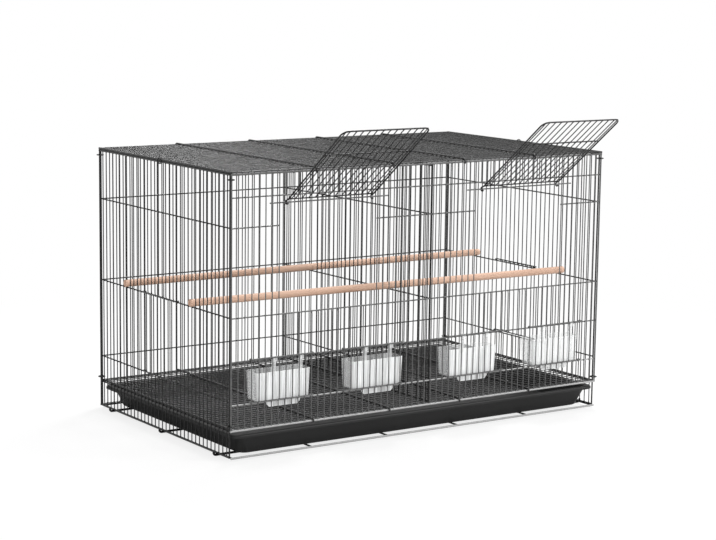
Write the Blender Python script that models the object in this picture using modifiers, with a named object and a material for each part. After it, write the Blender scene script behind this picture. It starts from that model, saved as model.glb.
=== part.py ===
"""Two-compartment wire cage: wire panels, swing-up doors, feeder gates and cups, perches and a tray.

Blender 4.5, metres, +Z up. The cage stands on the floor at z = 0, its front faces -Y and the middle
of its footprint is the origin. Every wire is square, with the cross-section of the real round wire.
"""

import math

import bmesh
import bpy
from mathutils import Vector

# Overall sizes, between the middles of the outer wires
WIDTH = 0.762
DEPTH = 0.4572
HEIGHT = 0.4655

# Wire diameters
BAR = 0.0018
RAIL = 0.0023
RIB = 0.0030
EDGE = 0.0027
FRAME = 0.0035
BASE = 0.0040

# Wire pattern
PITCH = 0.0127
RIB_PITCH = 0.1524
GAP = 0.0003
WELD = 0.0003
STEP_LENGTH = 0.0025
BEND_STEPS = 4

# Heights of the cross wires
HINGE_HEIGHT = 0.4135
UPPER_RAIL = 0.425
SIDE_TOP_RAIL = 0.3765
MIDDLE_RAIL = 0.232
GATE_TOP_RAIL = 0.161
GATE_LOW_RAIL = 0.0905
NEST_LOW_RAIL = 0.0945
FRONT_LOW_RAIL = 0.049
DIVIDER_TOP = 0.4585

# Large front doors: opening, distance from the side wall, the door itself and how far it stands open
DOOR_OPENING = 0.1905
DOOR_MARGIN = 0.0889
DOOR_LENGTH = 0.204
DOOR_CORNER = 0.012
DOOR_CROSS_WIRE = 0.134
DOOR_FIRST_WIRE = 0.0075
DOOR_EDGE_SPACING = 0.0055
DOOR_OPEN_ANGLE = 127.5
HINGE_OVERRUN = 0.019
DOOR_HOOK_START = -20

# Feeder openings and their sliding gates
GATE_OPENING = 0.1143
GATE_MARGIN = 0.0381
GATE_SPACING = 0.1778
GATE_CURL_END = -110

# Nest openings in the side walls
NEST_OPENING = 0.1143
NEST_MARGIN = 0.1778

# Feeder cups, each at its own distance from the middle of its opening
CUP_WIDTH = 0.104
CUP_DEPTH = 0.038
CUP_WALL = 0.0018
CUP_TOP = 0.1495
CUP_BOTTOM = 0.0865
CUP_DRAFT = 0.0015
CUP_CORNER = 0.006
CUP_OFFSETS = (0.007, 0.015, -0.001, 0.006)
HOOK_WIDTH = 0.008
HOOK_REACH = 0.026
HOOK_DROP = 0.006
LIP_WIDTH = 0.064
LIP_DROP = 0.009

# Perches: bars counted from the front wall at the left and the right end
PERCH_DIAMETER = 0.0125
PERCH_OVERHANG = 0.004
PERCH_SLOT = 0.003
PERCH_SIDES = 16
PERCH_REAR_BARS = (28, 28)
PERCH_FRONT_BARS = (10, 8)
DIVIDER_BARS = (31, 30)

# Tray
TRAY_TOP = 0.042
TRAY_WALL = 0.0018
TRAY_LIP = 0.008
TRAY_FRONT_LIP = 0.002
TRAY_LIP_DROP = 0.004
TRAY_TAPER = 0.012
TRAY_CORNER = 0.014
TRAY_SIDE_PLAY = 0.0015
TRAY_FRONT_REACH = 0.004

# Base wires and the rings that tie the walls together
BASE_CROSS_INSET = 0.045
CURL_RADIUS = 0.0042
CURL_END = 30
RIB_HOOK_END = 205
RING_WIRE = 0.0020
RING_SIDES = 8
RING_WIRE_SIDES = 4
RING_SETBACK = 0.008

COLLECTION = "wire_bird_cage"
HIDDEN = "cutters"
MERGE_DISTANCE = 1e-6


def half(diameter):
    """Half the side of the square wire with a round wire's area."""
    return diameter * math.sqrt(math.pi) / 4


H_BAR = half(BAR)
H_RAIL = half(RAIL)
H_RIB = half(RIB)
H_EDGE = half(EDGE)
H_FRAME = half(FRAME)
H_BASE = half(BASE)

# Cross wires lie inside the bars, and a bar that ends on one steps in to meet it
RAIL_IN = H_BAR + GAP + H_RAIL
BAR_IN = GAP + WELD
RIB_OFF = H_BAR + GAP + H_RIB
CORNER_IN = RAIL_IN + H_RAIL + GAP + H_EDGE

WALL_TOP = HEIGHT - 2 * H_FRAME - GAP
HOOK_RADIUS = math.sqrt(2) * H_FRAME + 2 * GAP + H_RIB
FLOOR_HEIGHT = FRONT_LOW_RAIL + HOOK_RADIUS - RIB_OFF
SIDE_LOW_RAIL = FLOOR_HEIGHT - H_FRAME - GAP - H_RAIL
WALL_FOOT = 2 * H_BASE + GAP + H_FRAME
BASE_RIB_HEIGHT = 2 * H_BASE + H_RIB - WELD
TRAY_BOTTOM = BASE_RIB_HEIGHT + H_FRAME + GAP
HINGE_OUT = H_BAR + H_RAIL - WELD
GATE_CURL = math.sqrt(2) * H_BAR + 2 * GAP + H_RAIL
CUP_IN = GATE_CURL + H_RAIL + GAP

BARS_ACROSS = round(WIDTH / PITCH)
BARS_DEEP = round(DEPTH / PITCH)
STEP_X = WIDTH / BARS_ACROSS
STEP_Y = DEPTH / BARS_DEEP


def bar_x(index):
    """Where bar number index of the front and back stands, counted from the left."""
    return index * STEP_X - WIDTH / 2


def bar_y(index):
    """Where bar number index of a side stands, counted from the front."""
    return index * STEP_Y - DEPTH / 2


def mirrored(first, last):
    """The same pair of bars on the other half of the front."""
    return BARS_ACROSS - last, BARS_ACROSS - first


def bar_range(margin, opening, step):
    """First and last bar of an opening that starts a margin from the wall."""
    first = round(margin / step)
    return first, first + round(opening / step)


DOOR_LEFT = bar_range(DOOR_MARGIN, DOOR_OPENING, STEP_X)
DOORS = (DOOR_LEFT, mirrored(*DOOR_LEFT))
GATE_OUTER = bar_range(GATE_MARGIN, GATE_OPENING, STEP_X)
GATE_INNER = bar_range(GATE_MARGIN + GATE_SPACING, GATE_OPENING, STEP_X)
GATES = (GATE_OUTER, GATE_INNER, mirrored(*GATE_INNER), mirrored(*GATE_OUTER))
NEST = bar_range(NEST_MARGIN, NEST_OPENING, STEP_Y)


def clear_scene():
    for thing in list(bpy.data.objects):
        bpy.data.objects.remove(thing)


def new_collection(name):
    group = bpy.data.collections.new(name)
    bpy.context.scene.collection.children.link(group)
    return group


def new_material(name, colour, roughness, metallic):
    material = bpy.data.materials.new(name)
    material.use_nodes = True
    shader = material.node_tree.nodes["Principled BSDF"]
    shader.inputs["Base Color"].default_value = (*colour, 1)
    shader.inputs["Roughness"].default_value = roughness
    shader.inputs["Metallic"].default_value = metallic
    material.diffuse_color = (*colour, 1)
    return material


def place_object(name, mesh, group, material=None):
    thing = bpy.data.objects.new(name, mesh)
    group.objects.link(thing)
    if material:
        mesh.materials.append(material)
    return thing


def wire_curve(routes):
    """A curve of square wires; a route is its points and the diameter of its wire."""
    curve = bpy.data.curves.new("wires", "CURVE")
    curve.dimensions = "3D"
    curve.bevel_depth = 1
    curve.bevel_resolution = 0
    curve.use_fill_caps = True
    for points, diameter in routes:
        spline = curve.splines.new("POLY")
        spline.points.add(len(points) - 1)
        for spot, point in zip(spline.points, points):
            spot.co = (*point, 1)
            spot.radius = math.sqrt(2) * half(diameter)
            spot.tilt = math.radians(45)
    return curve


def wire_mesh(routes):
    """The wires as closed bodies in one mesh."""
    lines = bpy.data.objects.new("wires", wire_curve(routes))
    bpy.context.scene.collection.objects.link(lines)
    evaluated = lines.evaluated_get(bpy.context.evaluated_depsgraph_get())
    mesh = bpy.data.meshes.new_from_object(evaluated)
    bpy.data.objects.remove(lines)
    shape = bmesh.new()
    shape.from_mesh(mesh)
    bmesh.ops.remove_doubles(shape, verts=shape.verts, dist=MERGE_DISTANCE)
    bmesh.ops.recalc_face_normals(shape, faces=shape.faces)
    shape.to_mesh(mesh)
    shape.free()
    return mesh


def join(body, other, operation="UNION"):
    """A Boolean modifier on body, with other kept as its hidden operand."""
    other.hide_render = True
    other.display_type = "WIRE"
    joint = body.modifiers.new(operation.lower(), "BOOLEAN")
    joint.operation = operation
    joint.solver = "EXACT"
    joint.use_self = True
    joint.object = other
    return joint


def welded(name, rails, bars, material):
    """One body of the rails with the bars welded to them."""
    body = place_object(name, wire_mesh(rails), parts, material)
    join(body, place_object(name + "_bars", wire_mesh(bars), cutters))
    triangles = body.modifiers.new("triangles", "TRIANGULATE")
    triangles.ngon_method = "BEAUTY"
    triangles.quad_method = "BEAUTY"
    return body


def straight(place, start, end, diameter):
    """A straight wire between two spots in a panel's own coordinates."""
    return [place(*start), place(*end)], diameter


def arc(centre, radius, start, end, steps):
    """Points on an arc, its angles in degrees, as pairs in the plane of the arc."""
    turns = [math.radians(start + (end - start) * k / steps) for k in range(steps + 1)]
    return [(centre[0] + radius * math.cos(t), centre[1] + radius * math.sin(t)) for t in turns]


def border(place, across, along, over=0.0):
    """Two end rails and two edge wires round a panel."""
    routes = [straight(place, (across[0] - over, v, 0), (across[1] + over, v, 0), FRAME) for v in along]
    return routes + [straight(place, (u, along[0], 0), (u, along[1], 0), EDGE) for u in across]


def cross(place, height, across, out=-RAIL_IN, diameter=RAIL):
    """A cross wire on one face of a panel."""
    return straight(place, (across[0], height, out), (across[1], height, out), diameter)


def short_cross(place, height, across):
    """A cross wire on the inside whose two ends step out to the bars that carry them."""
    steps = ((0, BAR_IN), (STEP_LENGTH, BAR_IN), (2 * STEP_LENGTH, 0))
    left = [place(across[0] + u, height, w - RAIL_IN) for u, w in steps]
    right = [place(across[1] - u, height, w - RAIL_IN) for u, w in reversed(steps)]
    return left + right, RAIL


def stretches(index, along, windows):
    """The parts of a bar that the windows leave: low end, high end, and whether each is at a window."""
    found = []
    start = along[0]
    cut = False
    for first, last, low, high in sorted(windows, key=lambda window: window[2]):
        if first < index < last:
            found.append((start, low, cut, True))
            start = high
            cut = True
    return found + [(start, along[1], cut, False)]


def stepped(place, u, stretch, rails):
    """A bar in the panel's plane that steps in to a rail it ends on and clears the rails it passes."""
    low, high, low_cut, high_cut = stretch
    passing = any(low < rail < high for rail in rails)
    if not passing or not (low_cut or high_cut):
        level = -BAR_IN if low_cut or high_cut else 0
        return straight(place, (u, low, level), (u, high, level), BAR)
    steps = ((0, -BAR_IN), (STEP_LENGTH, -BAR_IN), (2 * STEP_LENGTH, 0))
    foot = [(u, low + v, w) for v, w in steps] if low_cut else [(u, low, 0)]
    head = [(u, high - v, w) for v, w in reversed(steps)] if high_cut else [(u, high, 0)]
    return [place(*spot) for spot in foot + head], BAR


def upright(place, spots, along, rails=(), windows=()):
    """The bars of a panel, cut where a window lies between its two jambs."""
    routes = []
    for index, u in spots:
        for stretch in stretches(index, along, windows):
            routes.append(stepped(place, u, stretch, rails))
    return routes


def spots_across():
    return [(index, bar_x(index)) for index in range(1, BARS_ACROSS)]


def spots_deep():
    return [(index, bar_y(index)) for index in range(1, BARS_DEEP)]


def rib_spots():
    """Across the width, the places of the ribs that run from front to back, each beside a bar."""
    every = RIB_PITCH / STEP_X
    spots = []
    for k in range(round(WIDTH / RIB_PITCH) // 2):
        x = bar_x(round(BARS_ACROSS / 2 + (k + 0.5) * every)) - RIB_OFF
        spots += [-x, x]
    return sorted(spots)


def build_front():
    """Front panel with two door openings, four feeder openings and the door hinge wires."""
    def place(u, v, w):
        return Vector((u, -DEPTH / 2 - w, v))

    across = (-WIDTH / 2, WIDTH / 2)
    along = (FRONT_LOW_RAIL, WALL_TOP)
    windows = [(*door, MIDDLE_RAIL, UPPER_RAIL) for door in DOORS]
    windows += [(*gate, GATE_LOW_RAIL, GATE_TOP_RAIL) for gate in GATES]
    heights = (UPPER_RAIL, MIDDLE_RAIL, GATE_TOP_RAIL, GATE_LOW_RAIL)
    rails = border(place, across, along, over=H_EDGE)
    rails += [cross(place, height, across) for height in heights]
    stops = [0, *DOORS[0], *DOORS[1], BARS_ACROSS]
    for first, last in zip(stops[::2], stops[1::2]):
        rails.append(short_cross(place, SIDE_TOP_RAIL, (bar_x(first), bar_x(last))))
    for first, last in DOORS:
        ends = (bar_x(first) - HINGE_OVERRUN, bar_x(last) + HINGE_OVERRUN)
        rails.append(cross(place, HINGE_HEIGHT, ends, HINGE_OUT))
    bars = upright(place, spots_across(), along, (*heights, SIDE_TOP_RAIL), windows)
    welded("front_panel", rails, bars, bright_wire)


def build_back():
    def place(u, v, w):
        return Vector((u, DEPTH / 2 + w, v))

    across = (-WIDTH / 2, WIDTH / 2)
    along = (WALL_FOOT, WALL_TOP)
    rails = border(place, across, along, over=H_EDGE)
    for height in (SIDE_TOP_RAIL, MIDDLE_RAIL, NEST_LOW_RAIL, SIDE_LOW_RAIL):
        rails.append(cross(place, height, across))
    welded("back_panel", rails, upright(place, spots_across(), along), dark_wire)


def build_side(name, side):
    """A side wall with its nest opening; side is -1 for the left wall and 1 for the right."""
    def place(u, v, w):
        return Vector((side * (WIDTH / 2 + w), u, v))

    across = (CORNER_IN - DEPTH / 2, DEPTH / 2 - CORNER_IN)
    along = (WALL_FOOT, WALL_TOP)
    heights = (SIDE_TOP_RAIL, MIDDLE_RAIL, NEST_LOW_RAIL, SIDE_LOW_RAIL)
    rails = border(place, across, along)
    rails += [cross(place, height, across) for height in heights]
    windows = [(*NEST, NEST_LOW_RAIL, MIDDLE_RAIL)]
    welded(name, rails, upright(place, spots_deep(), along, heights, windows), dark_wire)


def hooked_rib(x, height, reach, radius):
    """A rib across the roof or floor whose front end curls down round the rail under it."""
    curl = arc((-DEPTH / 2, height - radius), radius, 90, RIB_HOOK_END, BEND_STEPS)
    points = [Vector((x, reach, height))] + [Vector((x, y, z)) for y, z in curl]
    return points, RIB


def build_roof():
    """Roof grille: bars across the width, ribs on top that hook over the front wall."""
    def place(u, v, w):
        return Vector((v, u, HEIGHT + w))

    across = (-DEPTH / 2, DEPTH / 2)
    along = (-WIDTH / 2, WIDTH / 2)
    rails = border(place, across, along, over=H_EDGE)
    rib_height = HEIGHT + RIB_OFF
    for x in rib_spots():
        points, diameter = hooked_rib(x, rib_height, 0, rib_height - WALL_TOP)
        back = [Vector((spot.x, -spot.y, spot.z)) for spot in reversed(points[1:])]
        rails.append((back + points[1:], diameter))
    welded("roof_panel", rails, upright(place, spots_deep(), along), dark_wire)


def build_floor():
    """Floor grille over the tray; its ribs hook over the front panel's lowest rail."""
    def place(u, v, w):
        return Vector((v, u, FLOOR_HEIGHT + w))

    front = H_FRAME + GAP + H_EDGE - DEPTH / 2
    back = DEPTH / 2 - 2 * H_EDGE - GAP
    side = WIDTH / 2 - H_EDGE - GAP - H_FRAME
    rails = border(place, (front, back), (-side, side))
    for x in rib_spots():
        rails.append(hooked_rib(x, FLOOR_HEIGHT + RIB_OFF, back, HOOK_RADIUS))
    welded("floor_grille", rails, upright(place, spots_deep(), (-side, side)), dark_wire)


def build_divider():
    """Divider grille, one bar further to the right at its front than at its back."""
    def place(u, v, w):
        return Vector((w, u, v))

    front_x, back_x = (bar_x(index) for index in DIVIDER_BARS)
    skew = math.atan2(front_x - back_x, DEPTH)
    reach = (DEPTH / 2 - CORNER_IN) / math.cos(skew)
    foot = FLOOR_HEIGHT + H_EDGE + GAP + H_FRAME
    across = (-reach, reach)
    along = (foot, DIVIDER_TOP)
    rails = border(place, across, along)
    for height in (SIDE_TOP_RAIL, MIDDLE_RAIL, NEST_LOW_RAIL):
        rails.append(cross(place, height, across))
    passed = (PERCH_REAR_BARS[0], sum(PERCH_FRONT_BARS) // 2)
    spots = [spot for spot in spots_deep() if spot[0] not in passed]
    bars = upright(place, spots, along)
    panel = welded("divider_panel", rails, bars, dark_wire)
    for piece in (panel, panel.modifiers[0].object):
        piece.location.x = (front_x + back_x) / 2
        piece.rotation_euler.z = skew


def build_base():
    """Floor loop, ribs under the tray and cross wires whose ends curl up round the side walls."""
    def place(u, v, w):
        return Vector((u, v, BASE_RIB_HEIGHT + w))

    side = WIDTH / 2 - H_FRAME - GAP - H_EDGE
    front = -DEPTH / 2
    back = DEPTH / 2 - 2 * H_FRAME - GAP
    loop = [straight(place, (-WIDTH / 2, front, 0), (WIDTH / 2, front, 0), FRAME)]
    loop.append(straight(place, (-side - H_EDGE, back, 0), (side + H_EDGE, back, 0), FRAME))
    loop += [straight(place, (u, front, 0), (u, back, 0), EDGE) for u in (-side, side)]
    loop += [straight(place, (x, front, 0), (x, back, 0), RIB) for x in rib_spots()]
    start = WIDTH / 2 + H_FRAME + GAP
    curl = [(start - BASE, H_BASE)] + arc((start, H_BASE + CURL_RADIUS), CURL_RADIUS, -90, CURL_END, BEND_STEPS)
    ends = [-DEPTH / 2 + BASE_CROSS_INSET, 0, DEPTH / 2 - BASE_CROSS_INSET]
    wires = []
    for y in ends:
        right = [Vector((x, y, z)) for x, z in curl]
        left = [Vector((-x, y, z)) for x, z in reversed(curl)]
        wires.append((left + right, BASE))
    welded("base_frame", loop, wires, dark_wire)


def build_door(name, first, last):
    """A front door in its closed place, hanging from its hinge wire, then swung open."""
    width = bar_x(last - 1) - bar_x(first + 1)
    out = half(EDGE) + GAP
    hook = math.sqrt(2) * H_RAIL + 2 * GAP + H_EDGE

    def place(u, v, w):
        return Vector((u, -out - w, -v))

    curl = [Vector((0, y, z)) for y, z in arc((0, 0), hook, DOOR_HOOK_START, 180, BEND_STEPS + 1)]
    knee = Vector((0, -out, -DOOR_FIRST_WIRE))
    corner = arc((width / 2 - DOOR_CORNER, DOOR_LENGTH - DOOR_CORNER), DOOR_CORNER, 0, 90, BEND_STEPS)
    right = [place(u, v, 0) for u, v in corner]
    side = [spot + Vector((width / 2, 0, 0)) for spot in curl + [knee]]
    half_loop = side + right
    other = [Vector((-spot.x, spot.y, spot.z)) for spot in reversed(half_loop)]
    loop = [(half_loop + other, EDGE)]
    reach = (-width / 2, width / 2)
    rails = loop + [cross(place, DOOR_FIRST_WIRE, reach, 0)]
    rails.append(cross(place, DOOR_CROSS_WIRE, reach, RAIL_IN))
    middle = (bar_x(first) + bar_x(last)) / 2
    spots = [(index, bar_x(index) - middle) for index in range(first + 2, last - 1)]
    inset = width / 2 - DOOR_EDGE_SPACING
    spots += [(first + 1, -inset), (last - 1, inset)]
    bars = upright(place, spots, (DOOR_FIRST_WIRE, DOOR_LENGTH))
    door = welded(name, rails, bars, dark_wire)
    for piece in (door, door.modifiers[0].object):
        piece.location = (middle, -DEPTH / 2 - HINGE_OUT, HINGE_HEIGHT)
        piece.rotation_euler.x = -math.radians(DOOR_OPEN_ANGLE)


def gate_routes(place, jambs, low, high, spots):
    """Two cross wires whose ends curl round the jamb bars, and the bars between them."""
    curl = arc((jambs[1], 0), GATE_CURL, 90, GATE_CURL_END, BEND_STEPS)
    rails = []
    for height in (low, high):
        right = [place(u, height, w) for u, w in curl]
        mirror = [(jambs[0] + jambs[1] - u, w) for u, w in reversed(curl)]
        left = [place(u, height, w) for u, w in mirror]
        rails.append((left + right, RAIL))
    return rails, [straight(place, (u, low, GATE_CURL), (u, high, GATE_CURL), BAR) for u in spots]


def build_gate(name, first, last):
    """A feeder gate that slides up on the two jamb bars of its opening."""
    def place(u, v, w):
        return Vector((u, -DEPTH / 2 - w, v))

    lift = H_RAIL + GAP + H_RAIL
    spots = [bar_x(index) for index in range(first + 1, last)]
    jambs = (bar_x(first), bar_x(last))
    rails, bars = gate_routes(place, jambs, GATE_LOW_RAIL + lift, GATE_TOP_RAIL + lift, spots)
    welded(name, rails, bars, bright_wire)


def build_nest_door(name, side):
    """A nest gate that slides up on the jamb bars of a side wall."""
    def place(u, v, w):
        return Vector((side * (WIDTH / 2 + w), u, v))

    lift = H_RAIL + GAP + H_RAIL
    spots = [bar_y(index) for index in range(NEST[0] + 1, NEST[1])]
    jambs = (bar_y(NEST[0]), bar_y(NEST[1]))
    rails, bars = gate_routes(place, jambs, NEST_LOW_RAIL + lift, MIDDLE_RAIL + lift, spots)
    welded(name, rails, bars, dark_wire)


def rounded_ring(shape, steps, width, depth, corner, z, shift=0.0):
    """Vertices of a rounded rectangle at one height, moved along Y by shift."""
    spots = []
    for sign_x, sign_y, start in ((1, 1, 0), (-1, 1, 90), (-1, -1, 180), (1, -1, 270)):
        centre = (sign_x * (width / 2 - corner), sign_y * (depth / 2 - corner) + shift)
        spots += arc(centre, corner, start, start + 90, steps)
    return [shape.verts.new((x, y, z)) for x, y in spots]


def open_box(rings, steps):
    """An open shell lofted through rounded rectangles, closed across the first one."""
    shape = bmesh.new()
    loops = [rounded_ring(shape, steps, *ring) for ring in rings]
    shape.faces.new(loops[0])
    for low, high in zip(loops, loops[1:]):
        count = len(low)
        for k in range(count):
            shape.faces.new((low[k], low[(k + 1) % count], high[(k + 1) % count], high[k]))
    bmesh.ops.recalc_face_normals(shape, faces=shape.faces)
    shape.normal_update()
    if shape.faces[0].normal.z > 0:
        bmesh.ops.reverse_faces(shape, faces=shape.faces)
    mesh = bpy.data.meshes.new("shell")
    shape.to_mesh(mesh)
    shape.free()
    return mesh


def thicken(body, wall):
    shell = body.modifiers.new("wall", "SOLIDIFY")
    shell.thickness = wall
    shell.offset = -1
    shell.use_even_offset = True


def build_tray():
    """Drawer with a turned-down lip that slides out under the front panel."""
    width = WIDTH - 2 * (H_BAR + TRAY_SIDE_PLAY)
    front = -DEPTH / 2 - TRAY_FRONT_REACH
    back = DEPTH / 2 - H_FRAME - TRAY_SIDE_PLAY
    depth = back - front
    top = TRAY_TOP - TRAY_WALL
    mouth_width = width - 2 * (TRAY_LIP + TRAY_WALL)
    mouth_depth = depth - TRAY_LIP - TRAY_FRONT_LIP - 2 * TRAY_WALL
    forward = (TRAY_FRONT_LIP - TRAY_LIP) / 2
    floor_width = mouth_width - 2 * TRAY_TAPER
    floor_depth = mouth_depth - 2 * TRAY_TAPER
    bevel = TRAY_CORNER / 3
    rings = [
        (floor_width - 2 * bevel, floor_depth - 2 * bevel, TRAY_CORNER, TRAY_BOTTOM, forward),
        (floor_width, floor_depth, TRAY_CORNER, TRAY_BOTTOM + bevel, forward),
        (mouth_width, mouth_depth, TRAY_CORNER, top, forward),
        (width - 2 * TRAY_WALL, depth - 2 * TRAY_WALL, TRAY_CORNER, top),
        (width - 2 * TRAY_WALL, depth - 2 * TRAY_WALL, TRAY_CORNER, top - TRAY_LIP_DROP),
    ]
    tray = place_object("tray", open_box(rings, BEND_STEPS), parts, black_plastic)
    tray.location.y = (front + back) / 2
    thicken(tray, TRAY_WALL)


def solid_outline(name, points, thickness):
    """A flat outline given a thickness, centred on its own plane."""
    curve = bpy.data.curves.new(name, "CURVE")
    curve.dimensions = "2D"
    curve.fill_mode = "BOTH"
    curve.extrude = thickness / 2
    spline = curve.splines.new("POLY")
    spline.points.add(len(points) - 1)
    for spot, (x, y) in zip(spline.points, points):
        spot.co = (x, y, 0, 1)
    spline.use_cyclic_u = True
    outline = bpy.data.objects.new(name, curve)
    bpy.context.scene.collection.objects.link(outline)
    evaluated = outline.evaluated_get(bpy.context.evaluated_depsgraph_get())
    mesh = bpy.data.meshes.new_from_object(evaluated)
    bpy.data.objects.remove(outline)
    shape = bmesh.new()
    shape.from_mesh(mesh)
    bmesh.ops.remove_doubles(shape, verts=shape.verts, dist=MERGE_DISTANCE)
    bmesh.ops.recalc_face_normals(shape, faces=shape.faces)
    shape.to_mesh(mesh)
    shape.free()
    return mesh


def hook_outline():
    """The cup hook from the side: up behind the rail, over it and down in front, in (-w, z)."""
    rail_back = RAIL_IN + H_RAIL + GAP
    rail_front = RAIL_IN - H_RAIL - GAP
    leg_back = CUP_IN + CUP_WALL / 2
    over = GATE_TOP_RAIL + H_RAIL + GAP
    root = CUP_TOP - HOOK_DROP
    tip = GATE_TOP_RAIL - HOOK_DROP
    return [
        (rail_back, root), (leg_back, root), (leg_back, over + CUP_WALL / 2),
        (rail_back, over + CUP_WALL), (rail_front, over + CUP_WALL),
        (rail_front - CUP_WALL, over + CUP_WALL / 2), (rail_front - CUP_WALL, tip),
        (rail_front, tip), (rail_front, over), (rail_back, over),
    ]


def snapped(x):
    """The middle of the space between bars that x falls in."""
    return bar_x(math.floor((x + WIDTH / 2) / STEP_X) + 0.5)


def build_cup(name, gate, offset):
    """A clear cup inside the front wall, hooked over the rail above its opening."""
    centre = (bar_x(gate[0]) + bar_x(gate[1])) / 2 + offset
    front = CUP_IN - DEPTH / 2
    low_width = CUP_WIDTH - 2 * CUP_DRAFT
    low_depth = CUP_DEPTH - 2 * CUP_DRAFT
    rings = [
        (low_width - CUP_CORNER, low_depth - CUP_CORNER, CUP_CORNER, CUP_BOTTOM),
        (low_width, low_depth, CUP_CORNER, CUP_BOTTOM + CUP_CORNER / 2),
        (CUP_WIDTH, CUP_DEPTH, CUP_CORNER, CUP_TOP),
    ]
    cup = place_object(name, open_box(rings, 2), parts, clear_plastic)
    cup.location = (centre, front + CUP_DEPTH / 2, 0)
    thicken(cup, CUP_WALL)
    for number, side in enumerate((-1, 1)):
        outline = solid_outline("hook", hook_outline(), HOOK_WIDTH)
        hook = place_object(f"{name}_hook_{number}", outline, cutters)
        hook.rotation_euler = (math.radians(90), 0, math.radians(90))
        hook.location = (snapped(centre + side * HOOK_REACH), -DEPTH / 2, 0)
        join(cup, hook)
    lip = place_object(f"{name}_lip", lip_mesh(), cutters)
    lip.rotation_euler.x = math.radians(90)
    lip.location = (centre, front + CUP_DRAFT + CUP_WALL / 2 + GAP, 0)
    join(cup, lip)


def lip_mesh():
    """The tongue under the cup's front, its lower corners cut off."""
    top = CUP_BOTTOM + CUP_CORNER
    low = CUP_BOTTOM - LIP_DROP
    reach = LIP_WIDTH / 2
    cut = LIP_DROP / 2
    left = [(-reach, top), (-reach, low + cut), (cut - reach, low)]
    right = [(-x, z) for x, z in reversed(left)]
    return solid_outline("lip", left + right, CUP_WALL)


def build_perch(name, bars):
    """A wooden rod, slotted at both ends for a bar of each side wall."""
    left = Vector((-WIDTH / 2, bar_y(bars[0]), 0))
    right = Vector((WIDTH / 2, bar_y(bars[1]), 0))
    length = (right - left).length + 2 * PERCH_OVERHANG
    radius = PERCH_DIAMETER / 2
    rod = bmesh.new()
    bmesh.ops.create_cone(
        rod, cap_ends=True, segments=PERCH_SIDES, radius1=radius, radius2=radius, depth=length)
    mesh = bpy.data.meshes.new(name)
    rod.to_mesh(mesh)
    rod.free()
    perch = place_object(name, mesh, parts, wood)
    turn = math.atan2(right.y - left.y, right.x - left.x)
    height = MIDDLE_RAIL + H_RAIL + GAP + radius
    perch.rotation_euler = (0, math.radians(90), turn)
    perch.location = ((left + right) / 2)[:2] + (height, )
    slot = PERCH_OVERHANG + 2 * H_BAR
    for number, (end, side) in enumerate(((left, -1), (right, 1))):
        cut = bmesh.new()
        bmesh.ops.create_cube(cut, size=1)
        box = bpy.data.meshes.new("slot")
        cut.to_mesh(box)
        cut.free()
        cutter = place_object(f"{name}_slot_{number}", box, cutters)
        cutter.scale = (2 * slot, PERCH_SLOT, 2 * PERCH_DIAMETER)
        cutter.rotation_euler.z = turn
        cutter.location = (end.x + side * PERCH_OVERHANG, end.y, height)
        join(perch, cutter, "DIFFERENCE")


def build_ring(name, centre, spread, turned):
    """A wire ring round two parallel wires that lie spread apart."""
    minor = RING_WIRE / 2
    clear = math.hypot(H_FRAME, spread / 2 + H_FRAME)
    bpy.ops.mesh.primitive_torus_add(
        major_segments=RING_SIDES, minor_segments=RING_WIRE_SIDES,
        major_radius=(clear + GAP) / math.cos(math.pi / RING_SIDES) + minor, minor_radius=minor)
    ring = bpy.context.active_object
    ring.name = name
    ring.data.materials.append(dark_wire)
    for group in list(ring.users_collection):
        group.objects.unlink(ring)
    parts.objects.link(ring)
    ring.location = centre
    if turned:
        ring.rotation_euler.x = math.radians(90)


def build_rings():
    """Eight rings at the corners and two that tie the roof to the side walls."""
    for side, x in (("left", -WIDTH / 2), ("right", WIDTH / 2)):
        for end, y in (("front", CORNER_IN / 2 - DEPTH / 2), ("back", DEPTH / 2 - CORNER_IN / 2)):
            for level, z in (("upper", WALL_TOP - RING_SETBACK), ("lower", FRONT_LOW_RAIL + RING_SETBACK)):
                build_ring(f"ring_{level}_{end}_{side}", (x, y, z), CORNER_IN, False)
        middle = (x, STEP_Y / 2, (HEIGHT + WALL_TOP) / 2)
        build_ring(f"side_clip_{side}", middle, HEIGHT - WALL_TOP, True)


clear_scene()
parts = new_collection(COLLECTION)
cutters = new_collection(HIDDEN)
dark_wire = new_material("black_powder_coat", (0.016, 0.016, 0.017), 0.4, 0.3)
bright_wire = new_material("black_gloss_coat", (0.02, 0.02, 0.021), 0.3, 0.3)
black_plastic = new_material("black_plastic", (0.03, 0.03, 0.031), 0.5, 0.0)
clear_plastic = new_material("clear_plastic", (0.85, 0.87, 0.88), 0.1, 0.0)
wood = new_material("pale_wood", (0.62, 0.38, 0.25), 0.6, 0.0)

build_base()
build_tray()
build_floor()
build_side("left_side_panel", -1)
build_side("right_side_panel", 1)
build_back()
build_front()
build_roof()
build_divider()
build_door("front_door_left", *DOORS[0])
build_door("front_door_right", *DOORS[1])
for number, (gate, offset) in enumerate(zip(GATES, CUP_OFFSETS), start=1):
    build_gate(f"feeder_door_{number}", *gate)
    build_cup(f"feeder_cup_{number}", gate, offset)
build_nest_door("nest_door_left", -1)
build_nest_door("nest_door_right", 1)
build_perch("perch_rear", PERCH_REAR_BARS)
build_perch("perch_front", PERCH_FRONT_BARS)
build_rings()
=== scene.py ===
"""The wire cage dressed for a studio picture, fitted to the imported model.

Round powder-coated wires with weld beads, a moulded tray, clear feeder cups and turned perches.
Metres, +Z up, the front faces -Y and the middle of the footprint is the origin.
"""

import math

import bmesh
import bpy
from mathutils import Matrix, Vector


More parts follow.
